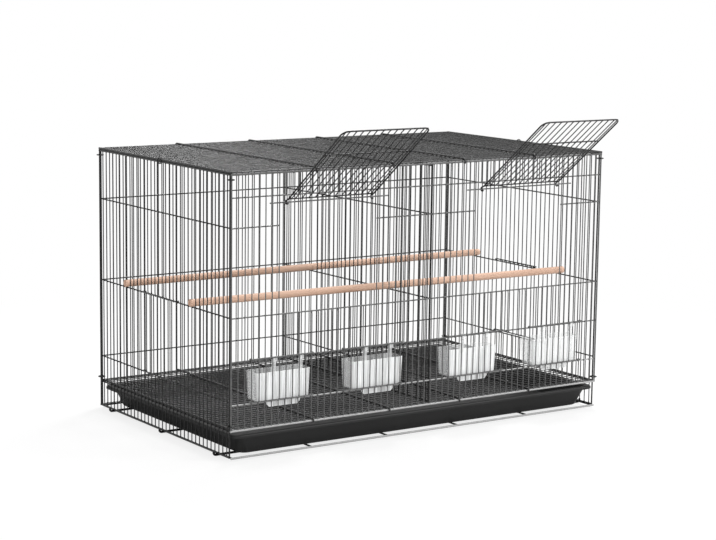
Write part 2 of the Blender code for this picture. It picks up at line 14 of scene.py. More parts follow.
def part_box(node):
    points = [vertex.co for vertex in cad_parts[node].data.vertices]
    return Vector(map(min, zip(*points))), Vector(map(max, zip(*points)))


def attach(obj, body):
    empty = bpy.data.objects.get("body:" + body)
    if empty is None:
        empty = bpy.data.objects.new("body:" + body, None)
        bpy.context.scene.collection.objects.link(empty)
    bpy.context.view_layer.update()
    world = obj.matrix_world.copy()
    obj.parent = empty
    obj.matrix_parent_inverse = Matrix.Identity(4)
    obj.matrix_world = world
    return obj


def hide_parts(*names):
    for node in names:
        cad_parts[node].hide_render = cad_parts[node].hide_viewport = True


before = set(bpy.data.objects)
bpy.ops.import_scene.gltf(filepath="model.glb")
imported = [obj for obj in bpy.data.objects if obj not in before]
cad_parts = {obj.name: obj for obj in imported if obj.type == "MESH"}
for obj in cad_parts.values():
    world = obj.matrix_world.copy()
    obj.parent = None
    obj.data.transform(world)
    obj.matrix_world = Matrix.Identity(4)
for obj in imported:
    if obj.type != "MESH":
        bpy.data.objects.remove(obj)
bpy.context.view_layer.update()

# Wire diameters
BAR = 0.0018
RAIL = 0.0023
RIB = 0.0030
EDGE = 0.0027
FRAME = 0.0035
BASE = 0.0040
RING_WIRE = 0.0020

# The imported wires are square, with the area of the real round ones
SQUARE = math.sqrt(math.pi) / 4
H_BAR, H_RAIL, H_RIB = BAR * SQUARE, RAIL * SQUARE, RIB * SQUARE
H_EDGE, H_FRAME, H_BASE = EDGE * SQUARE, FRAME * SQUARE, BASE * SQUARE

# Overall sizes between the middles of the outer wires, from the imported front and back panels
FRONT_LOW, FRONT_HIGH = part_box("front_panel")
BACK_LOW, BACK_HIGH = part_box("back_panel")
WIDTH = FRONT_HIGH.x - FRONT_LOW.x - 2 * H_EDGE
DEPTH = 2 * (BACK_HIGH.y - H_FRAME)
WALL_TOP = FRONT_HIGH.z - H_FRAME
FRONT_LOW_RAIL = FRONT_LOW.z + H_FRAME
WALL_FOOT = BACK_LOW.z + H_FRAME

# Clearances between wires that pass and the overlap of wires that are welded
GAP = 0.0003
WELD = 0.0003
STEP_LENGTH = 0.0025
RAIL_IN = H_BAR + GAP + H_RAIL
BAR_IN = GAP + WELD
RIB_OFF = H_BAR + GAP + H_RIB
CORNER_IN = RAIL_IN + H_RAIL + GAP + H_EDGE
HEIGHT = WALL_TOP + 2 * H_FRAME + GAP
HOOK_RADIUS = math.sqrt(2) * H_FRAME + 2 * GAP + H_RIB
FLOOR_HEIGHT = FRONT_LOW_RAIL + HOOK_RADIUS - RIB_OFF
SIDE_LOW_RAIL = FLOOR_HEIGHT - H_FRAME - GAP - H_RAIL
BASE_RIB_HEIGHT = 2 * H_BASE + H_RIB - WELD
HINGE_OUT = H_BAR + H_RAIL - WELD
GATE_CURL = math.sqrt(2) * H_BAR + 2 * GAP + H_RAIL
CUP_IN = GATE_CURL + H_RAIL + GAP

# Wire pattern
BARS_ACROSS = 60
BARS_DEEP = 36
STEP_X = WIDTH / BARS_ACROSS
STEP_Y = DEPTH / BARS_DEEP
RIB_PITCH = 0.1524

# Heights of the cross wires
HINGE_HEIGHT = 0.4135
UPPER_RAIL = 0.425
SIDE_TOP_RAIL = 0.3765
MIDDLE_RAIL = 0.232
GATE_TOP_RAIL = 0.161
GATE_LOW_RAIL = 0.0905
NEST_LOW_RAIL = 0.0945
DIVIDER_TOP = 0.4585

# Openings, as the bars at their two sides
DOORS = ((7, 22), (38, 53))
GATES = ((3, 12), (17, 26), (34, 43), (48, 57))
NEST = (14, 23)
DIVIDER_BARS = (31, 30)

# Front doors
DOOR_LENGTH = 0.204
DOOR_CORNER = 0.012
DOOR_CROSS_WIRE = 0.134
DOOR_FIRST_WIRE = 0.0075
DOOR_EDGE_SPACING = 0.0055
DOOR_OPEN_ANGLE = 127.5
HINGE_OVERRUN = 0.019

# Base and rings; the visible curl is smaller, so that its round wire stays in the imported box
BASE_CROSS_INSET = 0.045
CURL_RADIUS = 0.0038
CURL_END = 30
HOOK_TRIM = 0.0002
RING_SETBACK = 0.008

# Feeder cups
CUP_WIDTH = 0.104
CUP_DEPTH = 0.038
CUP_WALL = 0.0018
CUP_TOP = 0.1375
CUP_BOTTOM = 0.0900
CUP_DRAFT = 0.0015
CUP_CORNER = 0.006
CUP_OFFSETS = (0.007, 0.015, -0.001, 0.006)
HOOK_WIDTH = 0.008
HOOK_REACH = 0.026
HOOK_DROP = 0.006
LIP_WIDTH = 0.064
LIP_DROP = 0.010
CUP_CORNER_STEPS = 5
CUP_FOOT_STEPS = 4

# Perches
PERCH_DIAMETER = 0.0125
PERCH_OVERHANG = 0.004
PERCH_SLOT = 0.003
PERCH_REAR_BARS = (28, 28)
PERCH_FRONT_BARS = (10, 8)
PERCH_SIDES = 40
PERCH_EDGE = 0.0006

# Tray
TRAY_WALL = 0.0018
TRAY_LIP = 0.008
TRAY_FRONT_LIP = 0.002
TRAY_LIP_DROP = 0.004
TRAY_TAPER = 0.012
TRAY_CORNER = 0.014
TRAY_CORNER_STEPS = 8
TRAY_FOOT_STEPS = 5
TRAY_ROLL_STEPS = 3

# Where the bends end, in degrees
RIB_HOOK_END = 205
DOOR_HOOK_START = -20
GATE_CURL_END = -110
RING_OPENING = 8

# Roundness of wires and bends, and the weld beads
WIRE_SIDES = 10
BEND_STEPS = 12
BEAD_WIDTH = 0.0016
BEAD_DEPTH = 0.0011
BEAD_SEGMENTS = 8
BEAD_RINGS = 5
CAP_ANGLE = 65

# Softened edges of the moulded and turned pieces; a share is of the wall
EDGE_ANGLE = 50
EDGE_STEPS = 3
SHELL_EDGE_SHARE = 0.3
FLAT_EDGE_SHARE = 0.25

# How much painted sheen a wire's coat gets, from black to the grey of painted highlights on lit wires
NO_PAINTED_SHEEN = 0.0
FLOOR_PAINTED_SHEEN = 0.06
BAR_PAINTED_SHEEN = 0.25
RAIL_PAINTED_HIGHLIGHT = 1.0

# Powder coat; a wander is how far a value goes up and down from place to place
COAT_BLACK = (0.004, 0.004, 0.004)
# Grey painted on the wires as painted highlight and painted sheen where light would catch them
COAT_SHEEN_GREY = (0.36, 0.36, 0.36)
COAT_ROUGHNESS = 0.27
COAT_ROUGHNESS_WANDER = 0.08
COAT_SPECULAR = 0.3
# How far the painted sheen goes up and down from place to place
COAT_SHEEN_WANDER = 0.2
COAT_PATCH_SCALE = 60
COAT_PEEL_SCALE = 1400
COAT_PEEL_STRENGTH = 0.25
COAT_PEEL_DEPTH = 0.0001

# Moulded black plastic of the tray
TRAY_BLACK = (0.017, 0.017, 0.017)
TRAY_FLOW_LIGHTER = 1.25
TRAY_ROUGHNESS = 0.42
TRAY_ROUGHNESS_WANDER = 0.06
TRAY_SPECULAR = 0.15
TRAY_FLOW_SCALE = 9
TRAY_FLOW_ROUGHNESS = 0.6
TRAY_GRAIN_SCALE = 1500
TRAY_GRAIN_STRENGTH = 0.2
TRAY_GRAIN_DEPTH = 0.0001

# Clear plastic of the cups; milk is the alpha of the front wall between its clear and its milky streaks
CUP_COLOUR = (0.93, 0.94, 0.94)
CUP_ROUGHNESS = 0.16
CUP_IOR = 1.5
CUP_STREAK_STRETCH = (260, 40, 6)
CUP_STREAK_RANGE = (0.36, 0.62)
CUP_STREAK_STRENGTH = 0.2
CUP_STREAK_DEPTH = 0.0005
CUP_MILK = (0.4, 0.95)
CUP_BEHIND_SHARE = 0.34
CUP_HOOK_SHARE = 0.45

# Wood of the perches
WOOD_MIDDLE = (0.60, 0.37, 0.24)
WOOD_DARK = (0.50, 0.30, 0.20)
WOOD_LIGHT = (0.74, 0.50, 0.38)
WOOD_ROUGHNESS = 0.6
WOOD_ROUGHNESS_WANDER = 0.1
WOOD_GRAIN_STRETCH = (5, 160, 160)
WOOD_PORE_STRETCH = (60, 1500, 1500)
WOOD_PORE_STRENGTH = 0.3
WOOD_PORE_DEPTH = 0.0002

# Studio: a floor that fades to white between two distances, the world's light and the softboxes
FLOOR_REACH = 30
FLOOR_DROP = 0.0002
FLOOR_GREY = (0.86, 0.86, 0.86)
FLOOR_ROUGHNESS = 0.7
FLOOR_FADE = (0.5, 1.3)
FLOOR_WHITE_SHARE = (0.8, 1.0)
WORLD_STRENGTH = 0.55
WHITE = (1, 1, 1, 1)
SOFTBOXES = (
    ("key", (1.9, -2.1, 2.2), 0.9, 60),
    ("fill", (-1.6, -2.8, 1.2), 2.4, 22),
    ("top", (1.0, 1.0, 2.8), 0.8, 75),
)

# Camera of the photograph: azimuth, elevation and roll in degrees, focal length in image widths
CAMERA_AZIMUTH = 34.16
CAMERA_ELEVATION = 8.87
CAMERA_ROLL = 0.74
CAMERA_DISTANCE = 3.542
CAMERA_TARGET = (0.0159, 0.0, 0.2496)
CAMERA_FOCAL = 1978.3 / 716
SENSOR_WIDTH = 36


def bar_x(index):
    """Where bar number index of the front and back stands, counted from the left."""
    return index * STEP_X - WIDTH / 2


def bar_y(index):
    """Where bar number index of a side stands, counted from the front."""
    return index * STEP_Y - DEPTH / 2


def node(tree, kind, inputs=None, **settings):
    """A new node with its settings made and its inputs linked or set by name."""
    new = tree.nodes.new(kind)
    for name, value in settings.items():
        setattr(new, name, value)
    for name, value in (inputs or {}).items():
        if isinstance(value, bpy.types.NodeSocket):
            tree.links.new(value, new.inputs[name])
        else:
            new.inputs[name].default_value = value
    return new


def surface_material(name, colour, roughness):
    """A Principled material, its node tree, its shader and the Object coordinates."""
    material = bpy.data.materials.new(name)
    material.use_nodes = True
    tree = material.node_tree
    shader = tree.nodes["Principled BSDF"]
    shader.inputs["Base Color"].default_value = (*colour, 1)
    shader.inputs["Roughness"].default_value = roughness
    place = node(tree, "ShaderNodeTexCoord").outputs["Object"]
    return material, tree, shader, place


def noise(tree, place, detail, scale=1):
    """A noise pattern, as an output socket."""
    inputs = {"Vector": place, "Scale": scale, "Detail": detail}
    return node(tree, "ShaderNodeTexNoise", inputs).outputs["Fac"]


def stretched(tree, place, scales):
    """Coordinates scaled on each axis, so that a pattern on them is drawn out."""
    return node(tree, "ShaderNodeMapping", {"Vector": place, "Scale": scales}).outputs["Vector"]


def spread(tree, value, target, source=(0.0, 1.0)):
    """A value taken from the source range to the target range, and held at its ends."""
    return node(tree, "ShaderNodeMapRange", {
        "Value": value, "From Min": source[0], "From Max": source[1],
        "To Min": target[0], "To Max": target[1]}).outputs["Result"]


def calculated(tree, operation, first, second, clamped=False):
    """A Math node on two values, as an output socket."""
    inputs = {0: first, 1: second}
    return node(tree, "ShaderNodeMath", inputs, operation=operation, use_clamp=clamped).outputs[0]


def mix_colours(tree, shader, factor, dark, light):
    """Base colour between two colours, by a factor."""
    ramp = node(tree, "ShaderNodeValToRGB", {"Fac": factor})
    ramp.color_ramp.elements[0].color = (*dark, 1)
    ramp.color_ramp.elements[1].color = (*light, 1)
    tree.links.new(ramp.outputs["Color"], shader.inputs["Base Color"])


def vary_roughness(tree, shader, pattern, wander):
    """Roughness that a pattern takes up and down from the shader's own value."""
    socket = shader.inputs["Roughness"]
    middle = socket.default_value
    tree.links.new(spread(tree, pattern, (middle - wander, middle + wander)), socket)


def add_relief(tree, shader, height, strength, depth):
    """A bump from a height pattern."""
    bump = node(tree, "ShaderNodeBump", {"Height": height, "Strength": strength, "Distance": depth})
    tree.links.new(bump.outputs["Normal"], shader.inputs["Normal"])


def powder_coat(name):
    """Powder coat on wire, from black to the grey painted sheen and painted highlight that each wire's
    attribute asks for.
    """
    material, tree, shader, place = surface_material(name, COAT_BLACK, COAT_ROUGHNESS)
    shader.inputs["Specular IOR Level"].default_value = COAT_SPECULAR
    patches = noise(tree, place, 3, COAT_PATCH_SCALE)
    uneven = spread(tree, patches, (1 - COAT_SHEEN_WANDER, 1 + COAT_SHEEN_WANDER))
    # Each wire's painted sheen: grey painted where highlights and lit sides would be
    tone = node(tree, "ShaderNodeAttribute", attribute_name="tone").outputs["Fac"]
    painted_sheen_amount = calculated(tree, "MULTIPLY", tone, uneven, clamped=True)
    mix_colours(tree, shader, painted_sheen_amount, COAT_BLACK, COAT_SHEEN_GREY)
    vary_roughness(tree, shader, patches, COAT_ROUGHNESS_WANDER)
    peel = noise(tree, place, 2, COAT_PEEL_SCALE)
    add_relief(tree, shader, peel, COAT_PEEL_STRENGTH, COAT_PEEL_DEPTH)
    return material


def moulded_plastic(name):
    """Black plastic with a fine moulded grain and faint flow marks."""
    material, tree, shader, place = surface_material(name, TRAY_BLACK, TRAY_ROUGHNESS)
    shader.inputs["Specular IOR Level"].default_value = TRAY_SPECULAR
    flow = node(tree, "ShaderNodeTexNoise", {
        "Vector": place, "Scale": TRAY_FLOW_SCALE, "Detail": 4,
        "Roughness": TRAY_FLOW_ROUGHNESS}).outputs["Fac"]
    lighter = tuple(value * TRAY_FLOW_LIGHTER for value in TRAY_BLACK)
    mix_colours(tree, shader, flow, TRAY_BLACK, lighter)
    vary_roughness(tree, shader, flow, TRAY_ROUGHNESS_WANDER)
    grain = node(tree, "ShaderNodeTexVoronoi", {"Vector": place, "Scale": TRAY_GRAIN_SCALE})
    add_relief(tree, shader, grain.outputs["Distance"], TRAY_GRAIN_STRENGTH, TRAY_GRAIN_DEPTH)
    return material


def clear_styrene(name):
    """Clear polystyrene: a milky front wall with upright streaks, clearer end walls, back and hooks."""
    material, tree, shader, place = surface_material(name, CUP_COLOUR, CUP_ROUGHNESS)
    shader.inputs["IOR"].default_value = CUP_IOR
    streaks = noise(tree, stretched(tree, place, CUP_STREAK_STRETCH), 2)
    milk = spread(tree, streaks, CUP_MILK, CUP_STREAK_RANGE)
    along = node(tree, "ShaderNodeSeparateXYZ", {"Vector": place}).outputs
    front_wall = CUP_IN - DEPTH / 2 + CUP_WALL + CUP_DRAFT
    behind = spread(tree, along["Y"], (1.0, CUP_BEHIND_SHARE), (front_wall, front_wall + CUP_WALL))
    above = spread(tree, along["Z"], (1.0, CUP_HOOK_SHARE), (CUP_TOP, CUP_TOP + CUP_WALL))
    clearer = calculated(tree, "MULTIPLY", behind, above)
    alpha = calculated(tree, "MULTIPLY", milk, clearer, clamped=True)
    tree.links.new(alpha, shader.inputs["Alpha"])
    add_relief(tree, shader, streaks, CUP_STREAK_STRENGTH, CUP_STREAK_DEPTH)
    return material


def pale_wood(name):
    """Sanded dowel: long grain streaks, small dark pores and a dry surface."""
    material, tree, shader, place = surface_material(name, WOOD_MIDDLE, WOOD_ROUGHNESS)
    streaks = noise(tree, stretched(tree, place, WOOD_GRAIN_STRETCH), 5)
    mix_colours(tree, shader, streaks, WOOD_DARK, WOOD_LIGHT)
    vary_roughness(tree, shader, streaks, WOOD_ROUGHNESS_WANDER)
    pores = noise(tree, stretched(tree, place, WOOD_PORE_STRETCH), 3)
    add_relief(tree, shader, pores, WOOD_PORE_STRENGTH, WOOD_PORE_DEPTH)
    return material


def wire_tree():
    """Round wires along the edges of a guide mesh, and a weld bead on each point marked as a weld."""
    tree = bpy.data.node_groups.new("round_wires", "GeometryNodeTree")
    kinds = {
        "Guide": "Geometry", "Sides": "Int", "Bead Width": "Float", "Bead Depth": "Float",
        "Finish": "Material"}
    for name, kind in kinds.items():
        tree.interface.new_socket(name, in_out="INPUT", socket_type="NodeSocket" + kind)
    tree.interface.new_socket("Wires", in_out="OUTPUT", socket_type="NodeSocketGeometry")
    given = node(tree, "NodeGroupInput").outputs

    def attribute(name, kind):
        reader = node(tree, "GeometryNodeInputNamedAttribute", {"Name": name}, data_type=kind)
        return reader.outputs["Attribute"]

    lines = node(tree, "GeometryNodeMeshToCurve", {"Mesh": given["Guide"]})
    section = node(tree, "GeometryNodeCurvePrimitiveCircle", {"Resolution": given["Sides"], "Radius": 1.0})
    tubes = node(tree, "GeometryNodeCurveToMesh", {
        "Curve": lines.outputs["Curve"], "Profile Curve": section.outputs["Curve"],
        "Scale": attribute("thickness", "FLOAT"), "Fill Caps": True})
    ball = node(tree, "GeometryNodeMeshUVSphere", {
        "Segments": BEAD_SEGMENTS, "Rings": BEAD_RINGS, "Radius": 1.0})
    facing = attribute("facing", "FLOAT_VECTOR")
    turn = node(tree, "FunctionNodeAlignRotationToVector", {"Vector": facing}, axis="Z")
    size = node(tree, "ShaderNodeCombineXYZ", {
        "X": given["Bead Width"], "Y": given["Bead Width"], "Z": given["Bead Depth"]})
    beads = node(tree, "GeometryNodeInstanceOnPoints", {
        "Points": given["Guide"], "Selection": attribute("welded", "BOOLEAN"),
        "Instance": ball.outputs["Mesh"], "Rotation": turn.outputs["Rotation"],
        "Scale": size.outputs["Vector"]})
    both = node(tree, "GeometryNodeJoinGeometry")
    tree.links.new(beads.outputs["Instances"], both.inputs["Geometry"])
    tree.links.new(tubes.outputs["Mesh"], both.inputs["Geometry"])
    real = node(tree, "GeometryNodeRealizeInstances", {"Geometry": both.outputs["Geometry"]})
    soft = node(tree, "GeometryNodeSetShadeSmooth", {
        "Geometry": real.outputs["Geometry"], "Shade Smooth": True})
    bend = node(tree, "GeometryNodeInputMeshEdgeAngle").outputs["Unsigned Angle"]
    crisp = node(tree, "GeometryNodeSetShadeSmooth", {
        "Geometry": soft.outputs["Geometry"], "Shade Smooth": False,
        "Selection": calculated(tree, "GREATER_THAN", bend, math.radians(CAP_ANGLE))}, domain="EDGE")
    coated = node(tree, "GeometryNodeSetMaterial", {
        "Geometry": crisp.outputs["Geometry"], "Material": given["Finish"]})
    node(tree, "NodeGroupOutput", {"Wires": coated.outputs["Geometry"]})
    return tree


def new_object(name, mesh):
    """A mesh placed in the scene under a name."""
    thing = bpy.data.objects.new(name, mesh)
    bpy.context.scene.collection.objects.link(thing)
    return thing


def plain_mesh(thing, name):
    """The evaluated object as a new object without modifiers; the old one goes."""
    bpy.context.view_layer.update()
    evaluated = thing.evaluated_get(bpy.context.evaluated_depsgraph_get())
    mesh = bpy.data.meshes.new_from_object(evaluated)
    mesh.transform(thing.matrix_world)
    bpy.data.objects.remove(thing)
    mesh.name = name
    return new_object(name, mesh)


def guide_mesh(wires, welds, tone):
    """Edges along the wires, loose points at the welds, and the attributes that tree and coat read."""
    points = []
    edges = []
    thickness = []
    painted_sheens = []
    for route, radius, *own_painted_sheen in wires:
        first = len(points)
        points += route
        thickness += [radius] * len(route)
        painted_sheens += (own_painted_sheen or [tone]) * len(route)
        edges += [(first + k, first + k + 1) for k in range(len(route) - 1)]
    count = len(points)
    points += [point for point, normal in welds]
    painted_sheens += [tone] * len(welds)
    mesh = bpy.data.meshes.new("guide")
    mesh.from_pydata(points, edges, [])
    kinds = {"thickness": "FLOAT", "tone": "FLOAT", "welded": "BOOLEAN", "facing": "FLOAT_VECTOR"}
    for attribute, kind in kinds.items():
        mesh.attributes.new(attribute, kind, "POINT")
    mesh.attributes["tone"].data.foreach_set("value", painted_sheens)
    mesh.attributes["thickness"].data.foreach_set("value", thickness + [0.0] * len(welds))
    for k, (point, normal) in enumerate(welds, start=count):
        mesh.attributes["welded"].data[k].value = True
        mesh.attributes["facing"].data[k].vector = normal
    return mesh


def with_painted_sheen(wires, tone):
    """The wires with a painted sheen of their own."""
    return [(route, radius, tone) for route, radius in wires]


def grille(name, body, wires, welds, tone=NO_PAINTED_SHEEN):
    """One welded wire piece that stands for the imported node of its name."""
    guide = new_object("guide", guide_mesh(wires, welds, tone))
    rounder = guide.modifiers.new("round_wires", "NODES")
    rounder.node_group = WIRE_TREE
    values = {"Sides": WIRE_SIDES, "Bead Width": BEAD_WIDTH, "Bead Depth": BEAD_DEPTH, "Finish": coat}
    for item in WIRE_TREE.interface.items_tree:
        if item.name in values:
            rounder[item.identifier] = values[item.name]
    piece = plain_mesh(guide, name + "_wires")
    finish_piece(piece, name, body)


def finish_piece(piece, name, body):
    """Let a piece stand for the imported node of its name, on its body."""
    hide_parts(name)
    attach(piece, body)


def straight(place, start, end, diameter):
    """A straight wire between two spots in a panel's own coordinates."""
    return [place(*start), place(*end)], diameter / 2


def arc(centre, radius, start, end, steps=BEND_STEPS):
    """Points on an arc, its angles in degrees, as pairs in the plane of the arc."""
    turns = [math.radians(start + (end - start) * k / steps) for k in range(steps + 1)]
    return [(centre[0] + radius * math.cos(t), centre[1] + radius * math.sin(t)) for t in turns]


def border(place, across, along, over=0.0):
    """Two end rails and two edge wires round a panel."""
    wires = [straight(place, (across[0] - over, v, 0), (across[1] + over, v, 0), FRAME) for v in along]
    return wires + [straight(place, (u, along[0], 0), (u, along[1], 0), EDGE) for u in across]


def cross(place, height, across, out=-RAIL_IN, diameter=RAIL):
    """A cross wire on one face of a panel."""
    return straight(place, (across[0], height, out), (across[1], height, out), diameter)


def short_cross(place, height, across):
    """A cross wire on the inside whose two ends step out to the bars that carry them."""
    steps = ((0, BAR_IN), (STEP_LENGTH, BAR_IN), (2 * STEP_LENGTH, 0))
    left = [place(across[0] + u, height, w - RAIL_IN) for u, w in steps]
    right = [place(across[1] - u, height, w - RAIL_IN) for u, w in reversed(steps)]
    return left + right, RAIL / 2


def stretches(index, along, windows):
    """The parts of a bar that the windows leave: low end, high end, and whether each is at a window."""
    found = []
    start = along[0]
    cut = False
    for first, last, low, high in sorted(windows, key=lambda window: window[2]):
        if first < index < last:
            found.append((start, low, cut, True))
            start = high
            cut = True
    return found + [(start, along[1], cut, False)]


def stepped(place, u, stretch, rails):
    """A bar in the panel's plane that steps in to a rail it ends on."""
    low, high, low_cut, high_cut = stretch
    passing = any(low < rail < high for rail in rails)
    if not passing or not (low_cut or high_cut):
        level = -BAR_IN if low_cut or high_cut else 0
        return straight(place, (u, low, level), (u, high, level), BAR)
    steps = ((0, -BAR_IN), (STEP_LENGTH, -BAR_IN), (2 * STEP_LENGTH, 0))
    foot = [(u, low + v, w) for v, w in steps] if low_cut else [(u, low, 0)]
    head = [(u, high - v, w) for v, w in reversed(steps)] if high_cut else [(u, high, 0)]
    return [place(*spot) for spot in foot + head], BAR / 2


def upright(place, spots, along, rails=(), windows=()):
    """The bars of a panel with a weld where each meets a rail; returns wires and welds."""
    wires = []
    welds = []
    normal = place(0, 0, 1) - place(0, 0, 0)
    inside = (RAIL / 2 - BAR / 2 - RAIL_IN) / 2
    for index, u in spots:
        for stretch in stretches(index, along, windows):
            wires.append(stepped(place, u, stretch, rails))
            low, high = stretch[:2]
            welds += [(place(u, rail, inside), normal) for rail in rails if low <= rail <= high]
        welds += [(place(u, along[0] + FRAME / 2, 0), normal), (place(u, along[1] - FRAME / 2, 0), normal)]
    return wires, welds


def spots_across():
    """The bars of the front and back between the edge wires, as index and place."""
    return [(index, bar_x(index)) for index in range(1, BARS_ACROSS)]


def spots_deep():
    """The bars of a side between the edge wires, as index and place."""
    return [(index, bar_y(index)) for index in range(1, BARS_DEEP)]


def rib_spots():
    """Across the width, the places of the ribs that run from front to back, beside a bar."""
    every = RIB_PITCH / STEP_X
    spots = []
    for k in range(round(WIDTH / RIB_PITCH) // 2):
        x = bar_x(round(BARS_ACROSS / 2 + (k + 0.5) * every)) - RIB_OFF
        spots += [-x, x]
    return sorted(spots)


def make_front():
    """Front panel with its door and feeder openings and the hinge wires of the doors."""
    def place(u, v, w):
        return Vector((u, -DEPTH / 2 - w, v))

    across = (-WIDTH / 2, WIDTH / 2)
    along = (FRONT_LOW_RAIL, WALL_TOP)
    windows = [(*door, MIDDLE_RAIL, UPPER_RAIL) for door in DOORS]
    windows += [(*gate, GATE_LOW_RAIL, GATE_TOP_RAIL) for gate in GATES]
    rails = border(place, across, along, over=H_EDGE)
    # Painted highlight on the front's lowest rail
    rails = with_painted_sheen(rails[:1], RAIL_PAINTED_HIGHLIGHT) + rails[1:]
    heights = (UPPER_RAIL, MIDDLE_RAIL, GATE_TOP_RAIL, GATE_LOW_RAIL)
    rails += [cross(place, height, across) for height in heights[:-1]]
    # Painted highlight on the rail under the feeder openings
    rails += with_painted_sheen([cross(place, GATE_LOW_RAIL, across)], RAIL_PAINTED_HIGHLIGHT)
    stops = [0, *DOORS[0], *DOORS[1], BARS_ACROSS]
    for first, last in zip(stops[::2], stops[1::2]):
        rails.append(short_cross(place, SIDE_TOP_RAIL, (bar_x(first), bar_x(last))))
    for first, last in DOORS:
        ends = (bar_x(first) - HINGE_OVERRUN, bar_x(last) + HINGE_OVERRUN)
        rails.append(cross(place, HINGE_HEIGHT, ends, HINGE_OUT))
    bars, welds = upright(place, spots_across(), along, (*heights, SIDE_TOP_RAIL), windows)
    # The front's bars get a painted sheen, lighter as if lit from the front
    grille("front_panel", "cage", rails + bars, welds, BAR_PAINTED_SHEEN)


def make_back():
    """Back panel, a closed grille with four cross wires."""
    def place(u, v, w):
        return Vector((u, DEPTH / 2 + w, v))

    across = (-WIDTH / 2, WIDTH / 2)
    along = (WALL_FOOT, WALL_TOP)
    heights = (SIDE_TOP_RAIL, MIDDLE_RAIL, NEST_LOW_RAIL, SIDE_LOW_RAIL)
    rails = border(place, across, along, over=H_EDGE)
    rails += [cross(place, height, across) for height in heights]
    bars, welds = upright(place, spots_across(), along, heights)
    grille("back_panel", "cage", rails + bars, welds)


def make_side(name, side):
    """A side wall with its nest opening; side is -1 for the left wall and 1 for the right."""
    def place(u, v, w):
        return Vector((side * (WIDTH / 2 + w), u, v))

    across = (CORNER_IN - DEPTH / 2, DEPTH / 2 - CORNER_IN)
    along = (WALL_FOOT, WALL_TOP)
    heights = (SIDE_TOP_RAIL, MIDDLE_RAIL, NEST_LOW_RAIL, SIDE_LOW_RAIL)
    rails = border(place, across, along)
    rails += [cross(place, height, across) for height in heights]
    windows = [(*NEST, NEST_LOW_RAIL, MIDDLE_RAIL)]
    bars, welds = upright(place, spots_deep(), along, heights, windows)
    grille(name, "cage", rails + bars, welds)


def hooked_rib(x, height, reach, radius):
    """A rib across the roof or floor whose front end curls down round the rail under it."""
    curl = arc((-DEPTH / 2, height - radius), radius - HOOK_TRIM, 90, RIB_HOOK_END)
    return [Vector((x, reach, height))] + [Vector((x, y, z)) for y, z in curl], RIB / 2


def rib_welds(ribs, rows, height):
    """A weld under each rib at every bar that it lies on."""
    up = Vector((0, 0, 1))
    return [(Vector((x, y, height + BAR / 2)), up) for x in ribs for y in rows]


def make_roof():
    """Roof grille: bars across the width, ribs on top that hook over the front and back walls."""
    def place(u, v, w):
        return Vector((v, u, HEIGHT + w))

    along = (-WIDTH / 2, WIDTH / 2)
    rails = border(place, (-DEPTH / 2, DEPTH / 2), along, over=H_EDGE)
    rib_height = HEIGHT + RIB_OFF
    for x in rib_spots():
        points, radius = hooked_rib(x, rib_height, 0, rib_height - WALL_TOP)
        back = [Vector((spot.x, -spot.y, spot.z)) for spot in reversed(points[1:])]
        rails.append((back + points[1:], radius))
    bars, welds = upright(place, spots_deep(), along)
    welds += rib_welds(rib_spots(), [y for index, y in spots_deep()], HEIGHT)
    grille("roof_panel", "cage", rails + bars, welds)


def make_floor():
    """Floor grille over the tray; its ribs hook over the front panel's lowest rail."""
    def place(u, v, w):
        return Vector((v, u, FLOOR_HEIGHT + w))

    front = H_FRAME + GAP + H_EDGE - DEPTH / 2
    back = DEPTH / 2 - 2 * H_EDGE - GAP
    side = WIDTH / 2 - H_EDGE - GAP - H_FRAME
    rails = border(place, (front, back), (-side, side))
    rails += [hooked_rib(x, FLOOR_HEIGHT + RIB_OFF, back, HOOK_RADIUS) for x in rib_spots()]
    bars, welds = upright(place, spots_deep(), (-side, side))
    welds += rib_welds(rib_spots(), [y for index, y in spots_deep()], FLOOR_HEIGHT)
    # The floor grille gets a faint painted sheen
    grille("floor_grille", "cage", rails + bars, welds, FLOOR_PAINTED_SHEEN)


def make_divider():
    """Divider grille, one bar further to the right at its front than at its back."""
    front_x, back_x = (bar_x(index) for index in DIVIDER_BARS)
    skew = math.atan2(front_x - back_x, DEPTH)
    turned = Matrix.Translation(((front_x + back_x) / 2, 0, 0)) @ Matrix.Rotation(skew, 4, "Z")

    def place(u, v, w):
        return turned @ Vector((w, u, v))

    reach = (DEPTH / 2 - CORNER_IN) / math.cos(skew)
    foot = FLOOR_HEIGHT + H_EDGE + GAP + H_FRAME
    along = (foot, DIVIDER_TOP)
    heights = (SIDE_TOP_RAIL, MIDDLE_RAIL, NEST_LOW_RAIL)
    rails = border(place, (-reach, reach), along)
    rails += [cross(place, height, (-reach, reach)) for height in heights]
    passed = (PERCH_REAR_BARS[0], sum(PERCH_FRONT_BARS) // 2)
    spots = [spot for spot in spots_deep() if spot[0] not in passed]
    bars, welds = upright(place, spots, along, heights)
    grille("divider_panel", "cage", rails + bars, welds)


